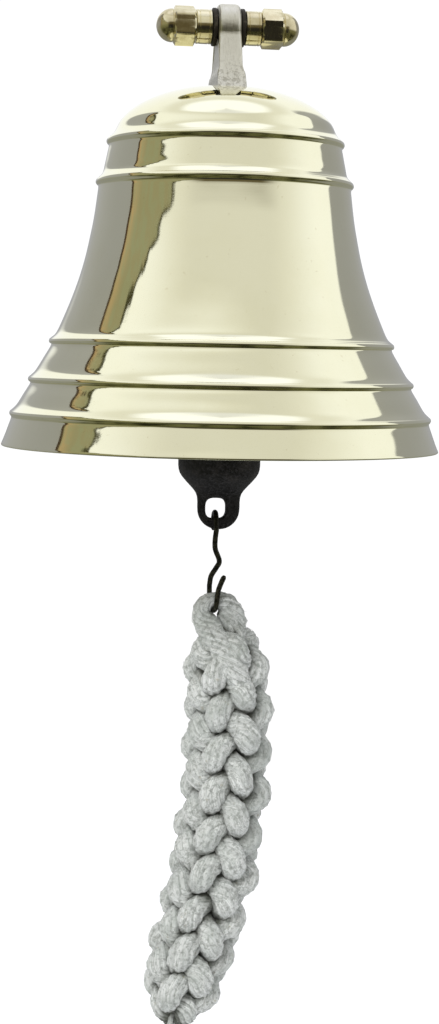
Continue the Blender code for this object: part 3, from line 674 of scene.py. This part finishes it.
def strand_rings(places, outwards, sizes, lean=1.0, sides=60):
    """Rings, their UVs and the yarns' heights for one laid strand: nine yarns wound about its centreline.

    outwards is each ring's outward direction and sizes its half-widths, outwards and across.
    """
    rings, uvs, heights = [], [], []
    length = 0.0
    count = len(places)
    for i, place in enumerate(places):
        tangent = (places[min(i + 1, count - 1)] - places[max(i - 1, 0)]).normalized()
        out = (outwards[i] - tangent * outwards[i].dot(tangent)).normalized()
        across = tangent.cross(out)
        if i:
            length += (place - places[i - 1]).length
        twist = lean * 2 * math.pi * length / YARN_PITCH
        ring = []
        for side in range(sides):
            angle = 2 * math.pi * side / sides
            yarn = abs(math.cos(4.5 * (angle + twist)))
            point = out * (math.cos(angle) * sizes[i][0]) + across * (math.sin(angle) * sizes[i][1])
            lump = 0.10 * noise.noise((place + point) * 0.33) + 0.07 * noise.noise((place + point) * 0.85)
            size = 1.0 - 0.17 * (1 - yarn) ** 1.6 + lump
            ring.append((place + point * size) * MM)
            uvs.append(((angle + twist) / (2 * math.pi), length * 0.01))
            heights.append(yarn)
        rings.append(ring)
    return rings, uvs, heights


def strand(name, rings, uvs, heights, exposed, material):
    """A strand's mesh, with how high on a yarn and how far out on the plait each point lies."""
    piece = tube(name, rings, material, uvs)
    for title, values in (("yarn", heights), ("exposed", exposed)):
        layer = piece.data.attributes.new(title, "FLOAT", "POINT")
        layer.data.foreach_set("value", values)
    return piece


def plait_strands(material):
    """Eight strands in a round sennit, four each way, each over one and under one.

    A strand runs steeply along the plait where it lies on top and more across it where it dives under, and
    at the plait's end it turns in.
    """
    axis = smooth([Vector(place) for place in PLAIT], 24)
    lengths = [0.0]
    for first, second in zip(axis, axis[1:]):
        lengths.append(lengths[-1] + (second.xy - first.xy).length)
    total = lengths[-1]
    pieces = []
    for way, word in ((1, "right"), (-1, "left")):
        for number in range(4):
            places, outwards, sizes, cores = [], [], [], []
            phases = [rng.uniform(0, 2 * math.pi) for _ in range(4)]
            for i, here in enumerate(axis):
                length = lengths[i]
                down = (axis[min(i + 1, len(axis) - 1)].xy - axis[max(i - 1, 0)].xy).normalized()
                along = Vector((down.x, 0, down.y))
                front = Vector((0, -1, 0))
                right = along.cross(front)
                turn = 2 * math.pi * length / PLAIT_PITCH
                lift = way * math.cos(4 * turn)
                sway = 0.07 * math.sin(length / 5.7 + phases[0]) + 0.06 * math.sin(length / 11.3 + phases[1])
                angle = way * turn - 0.195 * math.sin(4 * turn) + number * math.pi / 2 + math.pi / 8 + sway
                scale = here.z / PLAIT_RADIUS
                loose = 0.7 * math.sin(length / 7.9 + phases[2]) + 0.45 * math.sin(length / 3.9 + phases[3])
                inwards = step_up(total - 13, total, length)
                radius = (12.0 + 3.8 * lift + loose) * scale * (1 - 0.62 * inwards)
                direction = math.cos(angle) * front + math.sin(angle) * right
                places.append(Vector((here.x, 0, here.y)) + direction * radius)
                outwards.append(direction)
                cores.append((Vector((here.x, 0, here.y)), here.z))
                start = 0.5 + 0.5 * step_up(0, 7, length)
                wander = 1 + 0.045 * math.sin(length / 6.1 + phases[1])
                tight = (0.45 + 0.55 * min(1.0, scale)) * start * wander
                swell = 1 + 0.07 * lift
                sizes.append((STRAND_SIZE[0] * tight * swell, STRAND_SIZE[1] * tight * swell))
            rings, uvs, heights = strand_rings(places, outwards, sizes)
            # exposed is each point's distance from the plait's axis over the plait's radius; the cotton
            # paints shade where it is low.
            exposed = [(point / MM - middle).length / radius
                       for ring, (middle, radius) in zip(rings, cores) for point in ring]
            pieces.append(strand(f"plait_strand_{word}_{number + 1}", rings, uvs, heights, exposed, material))
    return pieces


def eye_strand(material):
    """The strand that makes the top eye: a tight bight whose legs cross into the plait."""
    path = [
        (12.5, -7.5, -308.0, 4.6), (10.6, -12.5, -303.0, 5.4), (7.4, -14.0, -296.5, 5.9),
        (3.0, -11.5, -288.5, 6.0), (-1.6, -6.6, -281.5, 6.0), (-4.6, -2.2, -276.2, 6.0),
        (-6.8, 0.0, -270.9, 4.7), (-5.2, 0.0, -266.6, 4.1),
        (-0.6, 0.0, -264.7, 3.9), (4.6, 0.0, -266.7, 5.2), (7.2, 0.3, -272.6, 6.8), (7.7, 1.2, -280.0, 7.0),
        (9.2, 1.5, -288.0, 6.6), (12.2, 0.0, -298.0, 5.6), (13.5, -1.0, -304.0, 4.6),
    ]
    fine = smooth([Vector(point) for point in path], 12)
    places = [Vector(point[:3]) for point in fine]
    outwards = [Vector((0, -1, 0)) for _ in fine]
    sizes = []
    for point in fine:
        flat = step_up(-282, -275, point[2])
        sizes.append((point[3] * (1 - flat) + min(point[3], 4.5) * flat, point[3]))
    rings, uvs, heights = strand_rings(places, outwards, sizes)
    # exposed is lower round the hook's hole, so the cotton paints shade in it.
    exposed = [1.0 - 0.35 * step_up(6.0, 2.0, (point / MM - Vector((HOLE[0], 0, HOLE[1]))).length)
               for ring in rings for point in ring]
    return strand("plait_eye", rings, uvs, heights, exposed, material)


def cut_ends(material):
    """The strands' cut ends, tucked into the plait's bottom: a tuft of short yarns."""
    end = Vector((PLAIT[-1][0], 0, PLAIT[-1][1]))
    pieces = []
    for number in range(14):
        angle = rng.uniform(0, 2 * math.pi)
        reach = rng.uniform(0.5, 5.5)
        start = end + Vector((reach * math.cos(angle), reach * math.sin(angle) - 1.0, 6.0))
        lean = Vector((rng.uniform(-0.35, 0.35), rng.uniform(-0.6, 0.1), -1.0)).normalized()
        long = rng.uniform(5.0, 8.5)
        places = [start + lean * long * step / 5 for step in range(6)]
        outwards = [Vector((0, -1, 0))] * 6
        sizes = [(1.5 - 0.07 * step, 1.5 - 0.07 * step) for step in range(6)]
        rings, uvs, heights = strand_rings(places, outwards, sizes, sides=18)
        # exposed is lower towards each tuft's root, so the cotton paints shade where the tufts tuck into the
        # plait.
        exposed = [0.70 + 0.05 * step for step in range(6) for _ in range(18)]
        pieces.append(strand(f"plait_cut_end_{number + 1}", rings, uvs, heights, exposed, material))
    return pieces


def loose_fibres(strands, material):
    """Short frayed fibres that stand off the strands."""
    rings_of, clear_of_hook = 4, 11
    hole = Vector((HOLE[0], 0, HOLE[1]))
    vertices, faces, exposed = [], [], []
    for _ in range(1500):
        mesh = rng.choice(strands).data
        vertex = mesh.vertices[rng.randrange(len(mesh.vertices))]
        outside = mesh.attributes["exposed"].data[vertex.index].value
        if outside < 0.88:
            continue
        root = vertex.co.copy()
        if (root / MM - hole).length < clear_of_hook:
            continue
        out = vertex.normal.copy()
        along = out.cross(Vector((rng.uniform(-1, 1), rng.uniform(-1, 1), rng.uniform(-1, 1)))).normalized()
        long = rng.uniform(1.2, 3.2) * MM
        first = len(vertices)
        for step in range(rings_of):
            t = step / (rings_of - 1)
            middle = root + along * (long * t) + out * (long * (0.55 * t - 0.42 * t * t) - 0.1 * MM)
            thick = (0.11 - 0.06 * t) * MM
            side = out.cross(along)
            for corner in range(3):
                angle = 2 * math.pi * corner / 3
                vertices.append(middle + thick * (math.cos(angle) * out + math.sin(angle) * side))
                exposed.append(1.0)
        for row in range(rings_of - 1):
            for corner in range(3):
                other = (corner + 1) % 3
                here, above = first + row * 3, first + row * 3 + 3
                faces.append((here + corner, here + other, above + other, above + corner))
        faces.append((first + 2, first + 1, first))
        faces.append((first + rings_of * 3 - 3, first + rings_of * 3 - 2, first + rings_of * 3 - 1))
    piece = new_object("plait_fibres", vertices, faces, material, [(0.5, 0.5)] * len(vertices))
    for title in ("yarn", "exposed"):
        piece.data.attributes.new(title, "FLOAT", "POINT").data.foreach_set("value", exposed)
    return piece


def lanyard(material):
    """All of the plaited pull."""
    pieces = plait_strands(material)
    pieces.append(eye_strand(material))
    pieces.append(loose_fibres(pieces, material))
    pieces += cut_ends(material)
    for piece in pieces:
        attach(piece, "pull")
        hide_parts("lanyard")


def paint_frame(materials):
    """Give each carried-over frame node its material."""
    record = frame["record"]
    slots = {part["node"]: part["material_slot"] for part in record["subparts"]}
    for name, obj in frame["nodes"].items():
        obj.data.materials.clear()
        obj.data.materials.append(materials[slots[name]])


# ---------------------------------------------------------------- stage

def floor():
    """A wide pale floor, well below the hanging bell."""
    material, nodes, shader = new_material("pale_floor", 0.0, Roughness=0.9, Emission_Strength=0.45)
    shader.inputs["Emission Color"].default_value = (1, 1, 1, 1)
    cloud = nodes.noise(3.0, 3.0, 0.5, nodes.place())
    join(nodes, shader, Base_Color=nodes.mix(cloud, (0.86, 0.86, 0.86), (0.90, 0.90, 0.90)))
    size, drop = 12.0, 2.5
    height = CAD_BOX[0][2] - drop
    corners = [(-size, -size, height), (size, -size, height), (size, size, height), (-size, size, height)]
    obj = new_object("floor", corners, [(0, 1, 2, 3)], material)
    obj.visible_glossy = False


def studio_world():
    """A pale room that the polished brass mirrors, by compass angle from the front and height, in degrees.

    A cream wall stands in front and to the right, grey walls at the sides and back, a tan curtain with a dark
    ragged hem on the left, a white ceiling above and a dark floor below. The camera itself sees only white.
    """
    world = bpy.data.worlds.new("studio")
    bpy.context.scene.world = world
    world.use_nodes = True
    nodes = Nodes(world.node_tree)
    world.node_tree.nodes.clear()
    direction = nodes.add("TexCoord").outputs["Generated"]
    parts = nodes.add("SeparateXYZ", {0: direction}).outputs
    degrees = 180 / math.pi
    backwards = nodes.math("MULTIPLY", parts[1], -1.0)
    turn = nodes.math("MULTIPLY", nodes.math("ARCTAN2", parts[0], backwards), degrees)
    height = nodes.math("MULTIPLY", nodes.math("ARCSINE", parts[2]), degrees)
    aside = nodes.math("ABSOLUTE", turn)

    def patch(turn_at, turn_size, height_at, height_size):
        """A soft round patch, 1 at its middle."""
        across = nodes.math("DIVIDE", nodes.math("SUBTRACT", turn, turn_at), turn_size)
        up = nodes.math("DIVIDE", nodes.math("SUBTRACT", height, height_at), height_size)
        across, up = nodes.math("POWER", across, 2.0), nodes.math("POWER", up, 2.0)
        away = nodes.math("SQRT", nodes.math("ADD", across, up))
        return nodes.smoothstep(away, 1.0, 0.0)

    def lit(colour, level):
        return nodes.add("VectorMath", {0: colour, "Scale": level}, operation="SCALE").outputs[0]

    low_glow = nodes.smoothstep(height, 60.0, 46.0, 0.10, 0.27)
    glow = nodes.math("MULTIPLY", nodes.smoothstep(aside, 30.0, 88.0), low_glow)
    blob = nodes.math("MULTIPLY", patch(-28.0, 62.0, 52.0, 14.0), 0.22)
    ceiling = nodes.smoothstep(height, 62.0, 70.0)
    overhead = nodes.math("MULTIPLY", ceiling, nodes.smoothstep(aside, 8.0, 55.0, 0.12, 0.32))
    level = nodes.math("ADD", nodes.math("ADD", glow, blob), overhead)
    level = nodes.math("ADD", level, 0.735)
    cream = nodes.mix(nodes.smoothstep(level, 0.74, 1.0), (1.0, 0.995, 0.965), (1.0, 1.015, 1.06))
    cream = nodes.mix(ceiling, cream, (1.0, 1.02, 1.15))
    room = lit(cream, level)

    grey_level = nodes.smoothstep(aside, 112.0, 178.0, 0.335, 0.42)
    grey_level = nodes.math("ADD", grey_level, nodes.smoothstep(height, 20.0, 42.0, 0.0, 0.05))
    grey = lit((0.985, 1.0, 1.10), grey_level)
    right_edge = nodes.smoothstep(height, 24.0, 42.0, 102.0, 122.0)
    left_edge = nodes.smoothstep(height, 10.0, 46.0, -100.0, -123.0)
    roof = nodes.smoothstep(aside, 124.0, 168.0, 50.0, 10.0)
    on_right = nodes.smoothstep(nodes.math("SUBTRACT", turn, right_edge), -1.0, 1.5)
    on_left = nodes.smoothstep(nodes.math("SUBTRACT", left_edge, turn), -0.4, 0.4)
    beyond = nodes.math("MAXIMUM", on_right, on_left)
    back = nodes.math("MULTIPLY", beyond, nodes.smoothstep(nodes.math("SUBTRACT", height, roof), 2.0, -4.0))

    rag = nodes.math("MULTIPLY", nodes.math("SUBTRACT", nodes.noise(9.0, 3.0, 0.55, direction), 0.5), 10.0)
    hem = nodes.math("MULTIPLY_ADD", nodes.math("ADD", turn, 105.0), -0.46, 41.5)
    hem = nodes.math("ADD", nodes.math("MINIMUM", hem, 50.0), rag)
    below = nodes.math("SUBTRACT", hem, height)
    curtain = nodes.smoothstep(below, 0.0, 0.35)
    beside = nodes.math("SUBTRACT", turn, left_edge)
    cloth = nodes.mix(nodes.smoothstep(beside, 1.0, 14.0), (0.50, 0.355, 0.20), (0.315, 0.295, 0.185))
    folds = nodes.noise(16.0, 3.0, 0.5, direction)
    cloth = nodes.mix(nodes.smoothstep(folds, 0.45, 0.62, 0.0, 0.55), cloth, (0.30, 0.33, 0.22))
    tears = nodes.math("MULTIPLY", nodes.smoothstep(nodes.noise(34.0, 2.0, 0.5, direction), 0.50, 0.56),
                       nodes.smoothstep(height, 34.0, 40.0, 0.0, 7.0))
    seam = nodes.math("SUBTRACT", nodes.math("SUBTRACT", beside, tears), 2.6)
    cloth = nodes.mix(nodes.smoothstep(seam, 0.9, -0.3, 0.0, 0.95), cloth, (0.030, 0.014, 0.006))
    cloth = nodes.mix(nodes.smoothstep(below, 2.6, 1.9, 0.0, 0.95), cloth, (0.040, 0.038, 0.014))

    colour = nodes.mix(curtain, room, cloth)
    colour = nodes.mix(beyond, colour, room)
    colour = nodes.mix(back, colour, grey)
    front = nodes.smoothstep(aside, 46.0, 24.0)
    low_front = nodes.math("MULTIPLY", front, nodes.smoothstep(height, 21.0, 13.0))
    colour = nodes.mix(low_front, colour, (0.12, 0.10, 0.055))
    stain = nodes.noise(5.0, 4.0, 0.55, direction)
    floor_shade = nodes.mix(nodes.smoothstep(stain, 0.40, 0.60), (0.016, 0.016, 0.007), (0.13, 0.13, 0.065))
    near_floor = nodes.mix(nodes.smoothstep(height, -6.0, -30.0), (0.20, 0.20, 0.11), floor_shade)
    black_front = nodes.math("MULTIPLY", front, nodes.smoothstep(height, -32.0, -22.0))
    near_floor = nodes.mix(black_front, near_floor, (0.022, 0.021, 0.019))
    near_floor = nodes.mix(nodes.smoothstep(aside, 96.0, 116.0, 0.0, 0.85), near_floor, (0.30, 0.305, 0.30))
    colour = nodes.mix(nodes.smoothstep(height, 4.0, -6.0), colour, near_floor)

    camera_ray = nodes.add("LightPath").outputs["Is Camera Ray"]
    colour = nodes.mix(camera_ray, colour, (1.05, 1.05, 1.05))
    background = nodes.add("Background", {"Color": colour, "Strength": 1.0})
    output = nodes.add("OutputWorld")
    world.node_tree.links.new(background.outputs[0], output.inputs[0])


def soft_light(name, position, target, size, power):
    """A large soft light that shapes matt surfaces; polished ones see the room."""
    data = bpy.data.lights.new(name, "AREA")
    data.shape = "DISK"
    data.size = size
    data.energy = power
    obj = bpy.data.objects.new(name, data)
    obj.location = position
    obj.rotation_euler = (Vector(target) - Vector(position)).to_track_quat("-Z", "Y").to_euler()
    obj.visible_glossy = False
    bpy.context.scene.collection.objects.link(obj)


def camera():
    """The photographer's view: just left of square on, level with the waist and tipped a little down."""
    distance = 0.923
    turn = math.radians(-7.5)
    data = bpy.data.cameras.new("camera")
    data.lens = 69.5
    obj = bpy.data.objects.new("camera", data)
    obj.location = (math.sin(turn) * distance, -math.cos(turn) * distance, -0.1466)
    aim = Vector((0.0006, 0, -0.2232)) - obj.location
    facing = aim.to_track_quat("-Z", "Y").to_matrix().to_4x4()
    roll = Matrix.Rotation(math.radians(1.15), 4, "Z")
    obj.rotation_euler = (facing @ roll).to_euler()
    bpy.context.scene.collection.objects.link(obj)
    bpy.context.scene.camera = obj


def main():
    """Dress the frame and set the stage."""
    camera()
    materials = {
        "polished_brass": polished_brass(), "satin_brass": satin_brass(), "brass_fittings": brass_fittings(),
        "dark_washer": dark_washer(), "steel": plated_steel(), "black_iron": black_iron(),
        "dark_wire": dark_wire(), "leather": leather(), "plaited_cotton": plaited_cotton(),
    }
    paint_frame(materials)
    bell_shell(materials["polished_brass"])
    lug(materials["satin_brass"])
    for side, word, turn in ((-1, "left", 0), (1, "right", 13)):
        cap_nut(side, word, turn, materials["brass_fittings"])
        hanger_rings(side, word, materials)
    clapper_bob(materials["black_iron"])
    hook_wire(materials["dark_wire"])
    lanyard(materials["plaited_cotton"])
    floor()
    studio_world()
    soft_light("key", (-0.9, -1.3, 0.9), (0, 0, -0.3), 0.8, 22)
    bpy.context.scene.view_settings.view_transform = "Standard"


main()
